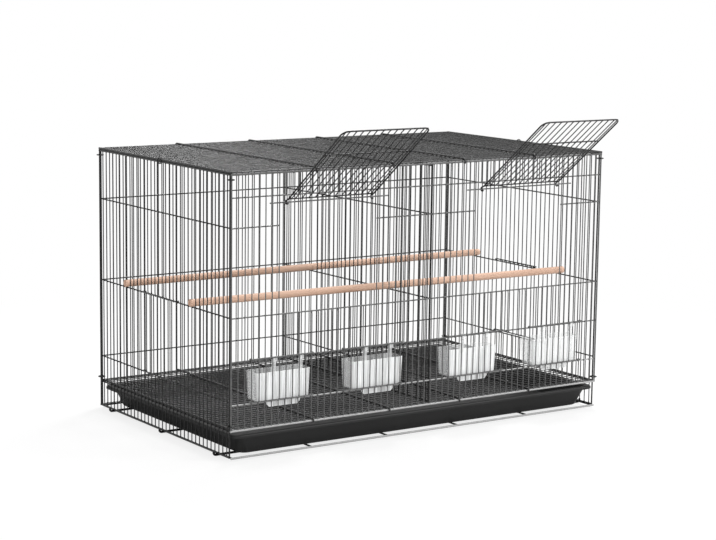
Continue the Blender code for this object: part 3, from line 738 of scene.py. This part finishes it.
def make_base():
    """Floor loop, ribs under the tray and cross wires whose ends curl up round the side walls."""
    def place(u, v, w):
        return Vector((u, v, BASE_RIB_HEIGHT + w))

    side = WIDTH / 2 - H_FRAME - GAP - H_EDGE
    front = -DEPTH / 2
    back = DEPTH / 2 - 2 * H_FRAME - GAP
    # Painted highlight on the base's front wire
    wires = with_painted_sheen([straight(place, (-WIDTH / 2, front, 0), (WIDTH / 2, front, 0), FRAME)], RAIL_PAINTED_HIGHLIGHT)
    wires.append(straight(place, (-side - H_EDGE, back, 0), (side + H_EDGE, back, 0), FRAME))
    wires += [straight(place, (u, front, 0), (u, back, 0), EDGE) for u in (-side, side)]
    wires += [straight(place, (x, front, 0), (x, back, 0), RIB) for x in rib_spots()]
    curl = arc((WIDTH / 2 + H_FRAME + GAP, BASE / 2 + CURL_RADIUS), CURL_RADIUS, -90, CURL_END)
    crossings = (-DEPTH / 2 + BASE_CROSS_INSET, 0, DEPTH / 2 - BASE_CROSS_INSET)
    for y in crossings:
        right = [Vector((x, y, z)) for x, z in curl]
        left = [Vector((-x, y, z)) for x, z in reversed(curl)]
        wires.append((left + right, BASE / 2))
    up = Vector((0, 0, 1))
    welds = [(Vector((x, y, BASE)), up) for x in (-side, *rib_spots(), side) for y in crossings]
    welds += [(Vector((x, y, BASE_RIB_HEIGHT)), up) for x in rib_spots() for y in (front, back)]
    grille("base_frame", "cage", wires, welds)


def make_door(name, first, last):
    """A front door, swung open about its hinge wire."""
    middle = (bar_x(first) + bar_x(last)) / 2
    width = bar_x(last - 1) - bar_x(first + 1)
    out = H_EDGE + GAP
    hook = math.sqrt(2) * H_RAIL + 2 * GAP + H_EDGE
    hinge = Vector((middle, -DEPTH / 2 - HINGE_OUT, HINGE_HEIGHT))
    swung = Matrix.Translation(hinge) @ Matrix.Rotation(-math.radians(DOOR_OPEN_ANGLE), 4, "X")

    def place(u, v, w):
        return swung @ Vector((u, -out - w, -v))

    curl = [Vector((0, y, z)) for y, z in arc((0, 0), hook, DOOR_HOOK_START, 180)]
    knee = Vector((0, -out, -DOOR_FIRST_WIRE))
    corner = arc((width / 2 - DOOR_CORNER, DOOR_LENGTH - DOOR_CORNER), DOOR_CORNER, 0, 90)
    side = [spot + Vector((width / 2, 0, 0)) for spot in curl + [knee]]
    half_loop = side + [Vector((u, -out, -v)) for u, v in corner]
    other = [Vector((-spot.x, spot.y, spot.z)) for spot in reversed(half_loop)]
    loop = [swung @ spot for spot in half_loop + other]
    reach = (-width / 2, width / 2)
    wires = [(loop, EDGE / 2)]
    wires.append(cross(place, DOOR_FIRST_WIRE, reach, 0))
    wires.append(cross(place, DOOR_CROSS_WIRE, reach, RAIL_IN))
    inset = width / 2 - DOOR_EDGE_SPACING
    spots = [(index, bar_x(index) - middle) for index in range(first + 2, last - 1)]
    spots += [(first + 1, -inset), (last - 1, inset)]
    normal = place(0, 0, 1) - place(0, 0, 0)
    for index, u in spots:
        wires.append(straight(place, (u, DOOR_FIRST_WIRE, 0), (u, DOOR_LENGTH, 0), BAR))
    rises = ((DOOR_FIRST_WIRE, 0), (DOOR_CROSS_WIRE, BAR / 2), (DOOR_LENGTH - EDGE / 2, 0))
    welds = [(place(u, v, w), normal) for index, u in spots for v, w in rises]
    grille(name, name, wires, welds)


def gate_wires(place, jambs, low, high, spots):
    """Two cross wires whose ends curl round the jamb bars, and the bars between them."""
    curl = arc((jambs[1], 0), GATE_CURL, 90, GATE_CURL_END)
    wires = []
    for height in (low, high):
        right = [place(u, height, w) for u, w in curl]
        left = [place(jambs[0] + jambs[1] - u, height, w) for u, w in reversed(curl)]
        wires.append((left + right, RAIL / 2))
    wires += [straight(place, (u, low, GATE_CURL), (u, high, GATE_CURL), BAR) for u in spots]
    normal = place(0, 0, 1) - place(0, 0, 0)
    ends = (low + RAIL / 2, high - RAIL / 2)
    return wires, [(place(u, v, GATE_CURL), normal) for u in spots for v in ends]


def make_gate(name, first, last):
    """A feeder gate that slides up on the two jamb bars of its opening."""
    def place(u, v, w):
        return Vector((u, -DEPTH / 2 - w, v))

    lift = H_RAIL + GAP + H_RAIL
    spots = [bar_x(index) for index in range(first + 1, last)]
    jambs = (bar_x(first), bar_x(last))
    wires, welds = gate_wires(place, jambs, GATE_LOW_RAIL + lift, GATE_TOP_RAIL + lift, spots)
    # The gates get the same painted sheen as the front bars
    grille(name, name, wires, welds, BAR_PAINTED_SHEEN)


def make_nest_door(name, side):
    """A nest gate that slides up on the jamb bars of a side wall."""
    def place(u, v, w):
        return Vector((side * (WIDTH / 2 + w), u, v))

    lift = H_RAIL + GAP + H_RAIL
    spots = [bar_y(index) for index in range(NEST[0] + 1, NEST[1])]
    jambs = (bar_y(NEST[0]), bar_y(NEST[1]))
    wires, welds = gate_wires(place, jambs, NEST_LOW_RAIL + lift, MIDDLE_RAIL + lift, spots)
    grille(name, name, wires, welds)


def make_ring(name, centre, spread_apart, upright_ring):
    """An open hog ring closed round two wires that lie side by side."""
    clear = math.hypot(H_FRAME, spread_apart / 2 + H_FRAME)
    radius = clear + GAP + RING_WIRE / 2
    loop = arc((0, 0), radius, RING_OPENING, 360 - RING_OPENING, 2 * BEND_STEPS)
    if upright_ring:
        route = [Vector(centre) + Vector((u, 0, v)) for u, v in loop]
    else:
        route = [Vector(centre) + Vector((u, v, 0)) for u, v in loop]
    grille(name, "cage", [(route, RING_WIRE / 2)], [])


def make_rings():
    """Two rings at each corner, and a clip that ties the roof to the middle of each side."""
    for side, x in (("left", -WIDTH / 2), ("right", WIDTH / 2)):
        for end, y in (("front", CORNER_IN / 2 - DEPTH / 2), ("back", DEPTH / 2 - CORNER_IN / 2)):
            for level, z in (("upper", WALL_TOP - RING_SETBACK), ("lower", FRONT_LOW_RAIL + RING_SETBACK)):
                make_ring(f"ring_{level}_{end}_{side}", (x, y, z), CORNER_IN, False)
        middle = (x, STEP_Y / 2, (HEIGHT + WALL_TOP) / 2)
        make_ring(f"side_clip_{side}", middle, HEIGHT - WALL_TOP, True)


def rounded_ring(shape, steps, width, depth, corner, z, shift=0.0):
    """Vertices of a rounded rectangle at one height, moved along Y by shift."""
    spots = []
    for sign_x, sign_y, start in ((1, 1, 0), (-1, 1, 90), (-1, -1, 180), (1, -1, 270)):
        centre = (sign_x * (width / 2 - corner), sign_y * (depth / 2 - corner) + shift)
        spots += arc(centre, corner, start, start + 90, steps)
    return [shape.verts.new((x, y, z)) for x, y in spots]


def open_shell(name, rings, steps, wall, finish):
    """An open box lofted through rounded rectangles, given a wall and softened edges."""
    shape = bmesh.new()
    loops = [rounded_ring(shape, steps, *ring) for ring in rings]
    shape.faces.new(loops[0])
    for low, high in zip(loops, loops[1:]):
        count = len(low)
        for k in range(count):
            shape.faces.new((low[k], low[(k + 1) % count], high[(k + 1) % count], high[k]))
    bmesh.ops.recalc_face_normals(shape, faces=shape.faces)
    shape.normal_update()
    if shape.faces[0].normal.z > 0:
        bmesh.ops.reverse_faces(shape, faces=shape.faces)
    mesh = bpy.data.meshes.new(name)
    shape.to_mesh(mesh)
    shape.free()
    mesh.materials.append(finish)
    shell = new_object(name, mesh)
    thick = shell.modifiers.new("wall", "SOLIDIFY")
    thick.thickness = wall
    thick.offset = -1
    thick.use_even_offset = True
    soften(shell, wall * SHELL_EDGE_SHARE)
    return shell


def soften(thing, radius):
    """Small rounded edges and smooth shading."""
    bevel = thing.modifiers.new("edges", "BEVEL")
    bevel.width = radius
    bevel.segments = EDGE_STEPS
    bevel.limit_method = "ANGLE"
    bevel.angle_limit = math.radians(EDGE_ANGLE)
    thing.data.shade_smooth()
    smooth = thing.modifiers.new("normals", "WEIGHTED_NORMAL")
    smooth.keep_sharp = True


def quarter_turn(steps):
    """Sine and cosine at equal steps through a quarter turn."""
    turns = [math.radians(90 * k / steps) for k in range(steps + 1)]
    return [(math.sin(turn), math.cos(turn)) for turn in turns]


def make_tray():
    """Drawer with a rolled rim that slides out under the front panel."""
    low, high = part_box("tray")
    width = high.x - low.x
    depth = high.y - low.y
    mouth_width = width - 2 * (TRAY_LIP + TRAY_WALL)
    mouth_depth = depth - TRAY_LIP - TRAY_FRONT_LIP - 2 * TRAY_WALL
    forward = (TRAY_FRONT_LIP - TRAY_LIP) / 2
    top = high.z - TRAY_WALL
    foot = TRAY_CORNER / 3
    rings = []
    for sine, cosine in quarter_turn(TRAY_FOOT_STEPS):
        inset = 2 * TRAY_TAPER + 2 * foot * (1 - sine)
        height = low.z + foot * (1 - cosine)
        rings.append((mouth_width - inset, mouth_depth - inset, TRAY_CORNER, height, forward))
    roll = TRAY_WALL
    for sine, cosine in quarter_turn(TRAY_ROLL_STEPS):
        inset = 2 * roll * cosine
        height = top - roll * (1 - sine)
        rings.append((mouth_width - inset, mouth_depth - inset, TRAY_CORNER, height, forward))
    skirt = 2 * TRAY_WALL
    for sine, cosine in quarter_turn(TRAY_ROLL_STEPS):
        inset = skirt + 2 * roll * (1 - sine)
        height = top - roll * (1 - cosine)
        rings.append((width - inset, depth - inset, TRAY_CORNER, height))
    rings.append((width - skirt, depth - skirt, TRAY_CORNER, top - TRAY_LIP_DROP))
    shell = open_shell("tray_shell", rings, TRAY_CORNER_STEPS, TRAY_WALL, black_plastic)
    shell.location = ((low.x + high.x) / 2, (low.y + high.y) / 2, 0)
    finish_piece(plain_mesh(shell, "tray_moulding"), "tray", "tray")


def flat_piece(points, thickness, matrix):
    """A flat outline in a plane, given a thickness about it, with softened edges, as a mesh."""
    shape = bmesh.new()
    loop = [shape.verts.new((u, v, -thickness / 2)) for u, v in points]
    face = shape.faces.new(loop)
    moved = bmesh.ops.extrude_face_region(shape, geom=[face])["geom"]
    lifted = [part for part in moved if isinstance(part, bmesh.types.BMVert)]
    bmesh.ops.translate(shape, vec=(0, 0, thickness), verts=lifted)
    bmesh.ops.recalc_face_normals(shape, faces=shape.faces)
    mesh = bpy.data.meshes.new("flat")
    shape.to_mesh(mesh)
    shape.free()
    mesh.materials.append(clear_plastic)
    piece = new_object("flat", mesh)
    soften(piece, CUP_WALL * FLAT_EDGE_SHARE)
    piece.matrix_world = matrix
    return piece


def hook_outline():
    """The cup hook from the side: up behind the rail, over it and down in front, in (-w, z)."""
    rail_back = RAIL_IN + H_RAIL + GAP
    rail_front = RAIL_IN - H_RAIL - GAP
    leg_back = CUP_IN + CUP_WALL / 2
    over = GATE_TOP_RAIL + H_RAIL + GAP
    root = CUP_TOP - HOOK_DROP
    tip = GATE_TOP_RAIL - HOOK_DROP
    return [
        (rail_back, root), (leg_back, root), (leg_back, over + CUP_WALL / 2),
        (rail_back, over + CUP_WALL), (rail_front, over + CUP_WALL),
        (rail_front - CUP_WALL, over + CUP_WALL / 2), (rail_front - CUP_WALL, tip),
        (rail_front, tip), (rail_front, over), (rail_back, over),
    ]


def snapped(x):
    """The middle of the space between bars that x falls in."""
    return bar_x(math.floor((x + WIDTH / 2) / STEP_X) + 0.5)


def joined(name, things):
    """Several objects made into one plain mesh."""
    shape = bmesh.new()
    for thing in things:
        plain = plain_mesh(thing, "part")
        shape.from_mesh(plain.data)
        bpy.data.objects.remove(plain)
    mesh = bpy.data.meshes.new(name)
    shape.to_mesh(mesh)
    shape.free()
    mesh.materials.append(clear_plastic)
    return new_object(name, mesh)


def make_cup(name, gate, offset):
    """A clear cup inside the front wall, hooked over the rail above its opening."""
    centre = (bar_x(gate[0]) + bar_x(gate[1])) / 2 + offset
    front = CUP_IN - DEPTH / 2
    low_width = CUP_WIDTH - 2 * CUP_DRAFT
    low_depth = CUP_DEPTH - 2 * CUP_DRAFT
    round_foot = CUP_CORNER / 2
    rings = []
    for sine, cosine in quarter_turn(CUP_FOOT_STEPS):
        inset = 2 * round_foot * (1 - sine)
        height = CUP_BOTTOM + round_foot * (1 - cosine)
        rings.append((low_width - inset, low_depth - inset, CUP_CORNER, height))
    rings.append((CUP_WIDTH, CUP_DEPTH, CUP_CORNER, CUP_TOP))
    shell = open_shell("cup", rings, CUP_CORNER_STEPS, CUP_WALL, clear_plastic)
    shell.location = (centre, front + CUP_DEPTH / 2, 0)
    parts = [shell]
    sideways = Matrix.Rotation(math.radians(90), 4, "Z") @ Matrix.Rotation(math.radians(90), 4, "X")
    for side in (-1, 1):
        spot = Matrix.Translation((snapped(centre + side * HOOK_REACH), -DEPTH / 2, 0))
        parts.append(flat_piece(hook_outline(), HOOK_WIDTH, spot @ sideways))
    top = CUP_BOTTOM + CUP_CORNER
    low = CUP_BOTTOM - LIP_DROP
    reach = LIP_WIDTH / 2
    cut = LIP_DROP / 2
    tongue = [
        (-reach, top), (-reach, low + cut), (cut - reach, low),
        (reach - cut, low), (reach, low + cut), (reach, top),
    ]
    standing = Matrix.Translation((centre, front + CUP_DRAFT + CUP_WALL / 2 + GAP, 0))
    parts.append(flat_piece(tongue, CUP_WALL, standing @ Matrix.Rotation(math.radians(90), 4, "X")))
    finish_piece(joined(name + "_moulding", parts), name, name)


def make_perch(name, bars):
    """A wooden dowel, slotted at both ends for a bar of each side wall."""
    left = Vector((-WIDTH / 2, bar_y(bars[0]), 0))
    right = Vector((WIDTH / 2, bar_y(bars[1]), 0))
    length = (right - left).length + 2 * PERCH_OVERHANG
    radius = PERCH_DIAMETER / 2
    rod = bmesh.new()
    bmesh.ops.create_cone(
        rod, cap_ends=True, segments=PERCH_SIDES, radius1=radius, radius2=radius, depth=length)
    bmesh.ops.rotate(rod, verts=rod.verts, matrix=Matrix.Rotation(math.radians(90), 3, "Y"))
    mesh = bpy.data.meshes.new(name)
    rod.to_mesh(mesh)
    rod.free()
    mesh.materials.append(wood)
    perch = new_object(name + "_rod", mesh)
    soften(perch, PERCH_EDGE)
    low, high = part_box(name)
    turn = math.atan2(right.y - left.y, right.x - left.x)
    perch.location = (0, (left.y + right.y) / 2, (low.z + high.z) / 2)
    perch.rotation_euler.z = turn
    slot = PERCH_OVERHANG + 2 * H_BAR
    cutters = []
    for end, side in ((left, -1), (right, 1)):
        cut = bmesh.new()
        bmesh.ops.create_cube(cut, size=1)
        box = bpy.data.meshes.new("slot")
        cut.to_mesh(box)
        cut.free()
        cutter = new_object("slot", box)
        cutter.scale = (2 * slot, PERCH_SLOT, 2 * PERCH_DIAMETER)
        cutter.rotation_euler.z = turn
        cutter.location = (end.x + side * PERCH_OVERHANG, end.y, perch.location.z)
        groove = perch.modifiers.new("slot", "BOOLEAN")
        groove.operation = "DIFFERENCE"
        groove.object = cutter
        cutters.append(cutter)
    piece = plain_mesh(perch, name + "_dowel")
    for cutter in cutters:
        bpy.data.objects.remove(cutter)
    finish_piece(piece, name, name)


def seen_directly(tree):
    """The Light Path outputs, and whether a ray comes from the eye, also through clear plastic."""
    seen = node(tree, "ShaderNodeLightPath").outputs
    return seen, calculated(tree, "MAXIMUM", seen["Is Camera Ray"], seen["Is Transmission Ray"])


def make_floor_plane():
    """A pale floor that fades to white away from the cage, so that it keeps the cage's soft shadow."""
    corners = [(u * FLOOR_REACH, v * FLOOR_REACH, 0) for u, v in ((-1, -1), (1, -1), (1, 1), (-1, 1))]
    mesh = bpy.data.meshes.new("studio_floor")
    mesh.from_pydata(corners, [], [(0, 1, 2, 3)])
    floor = new_object("studio_floor", mesh)
    floor.location.z = -FLOOR_DROP
    material, tree, shader, place = surface_material("studio_floor", FLOOR_GREY, FLOOR_ROUGHNESS)
    distance = node(tree, "ShaderNodeVectorMath", {0: place}, operation="LENGTH").outputs["Value"]
    fade = spread(tree, distance, FLOOR_WHITE_SHARE, FLOOR_FADE)
    seen, direct = seen_directly(tree)
    amount = calculated(tree, "MULTIPLY", fade, direct)
    white = node(tree, "ShaderNodeEmission", {"Color": WHITE, "Strength": 1.0}).outputs["Emission"]
    mix = node(tree, "ShaderNodeMixShader", {0: amount, 1: shader.outputs["BSDF"], 2: white})
    tree.links.new(mix.outputs["Shader"], tree.nodes["Material Output"].inputs["Surface"])
    mesh.materials.append(material)


def make_world():
    """White to the eye, in reflections and through clear plastic, and a soft grey light on the cage."""
    world = bpy.data.worlds.new("studio")
    bpy.context.scene.world = world
    world.use_nodes = True
    tree = world.node_tree
    tree.nodes.clear()
    seen, direct = seen_directly(tree)
    shown = calculated(tree, "MAXIMUM", direct, seen["Is Glossy Ray"])
    lit = node(tree, "ShaderNodeBackground", {"Color": WHITE, "Strength": WORLD_STRENGTH})
    white = node(tree, "ShaderNodeBackground", {"Color": WHITE, "Strength": 1.0})
    mix = node(tree, "ShaderNodeMixShader", {
        0: shown, 1: lit.outputs["Background"], 2: white.outputs["Background"]})
    node(tree, "ShaderNodeOutputWorld", {"Surface": mix.outputs["Shader"]})


def make_softbox(name, spot, size, power):
    """An area light that points at the middle of the cage."""
    light = bpy.data.lights.new(name, "AREA")
    light.shape = "DISK"
    light.size = size
    light.energy = power
    lamp = bpy.data.objects.new(name, light)
    bpy.context.scene.collection.objects.link(lamp)
    lamp.location = spot
    lamp.rotation_euler = (Vector((0, 0, HEIGHT / 2)) - Vector(spot)).to_track_quat("-Z", "Y").to_euler()


def make_camera():
    """The camera of the photograph, from the azimuth, elevation and roll that fit its corners."""
    azimuth = math.radians(CAMERA_AZIMUTH)
    elevation = math.radians(CAMERA_ELEVATION)
    roll = math.radians(CAMERA_ROLL)
    forward = Vector((math.sin(azimuth) * math.cos(elevation), math.cos(azimuth) * math.cos(elevation),
                      -math.sin(elevation)))
    level = Vector((math.cos(azimuth), -math.sin(azimuth), 0))
    above = level.cross(forward)
    right = level * math.cos(roll) + above * math.sin(roll)
    up = above * math.cos(roll) - level * math.sin(roll)
    lens = bpy.data.cameras.new("camera")
    lens.sensor_width = SENSOR_WIDTH
    lens.lens = CAMERA_FOCAL * SENSOR_WIDTH
    camera = bpy.data.objects.new("camera", lens)
    bpy.context.scene.collection.objects.link(camera)
    turn = Matrix((right, up, -forward)).transposed()
    spot = Vector(CAMERA_TARGET) - forward * CAMERA_DISTANCE
    camera.matrix_world = Matrix.Translation(spot) @ turn.to_4x4()
    bpy.context.scene.camera = camera


WIRE_TREE = wire_tree()
coat = powder_coat("black_powder_coat")
black_plastic = moulded_plastic("black_plastic")
clear_plastic = clear_styrene("clear_plastic")
wood = pale_wood("pale_wood")

make_camera()
make_world()
make_floor_plane()
for softbox in SOFTBOXES:
    make_softbox(*softbox)

make_front()
make_back()
make_side("left_side_panel", -1)
make_side("right_side_panel", 1)
make_roof()
make_floor()
make_divider()
make_base()
make_rings()
make_door("front_door_left", *DOORS[0])
make_door("front_door_right", *DOORS[1])
for number, (gate, offset) in enumerate(zip(GATES, CUP_OFFSETS), start=1):
    make_gate(f"feeder_door_{number}", *gate)
    make_cup(f"feeder_cup_{number}", gate, offset)
make_nest_door("nest_door_left", -1)
make_nest_door("nest_door_right", 1)
make_tray()
make_perch("perch_rear", PERCH_REAR_BARS)
make_perch("perch_front", PERCH_FRONT_BARS)

bpy.context.scene.view_settings.view_transform = "Standard"
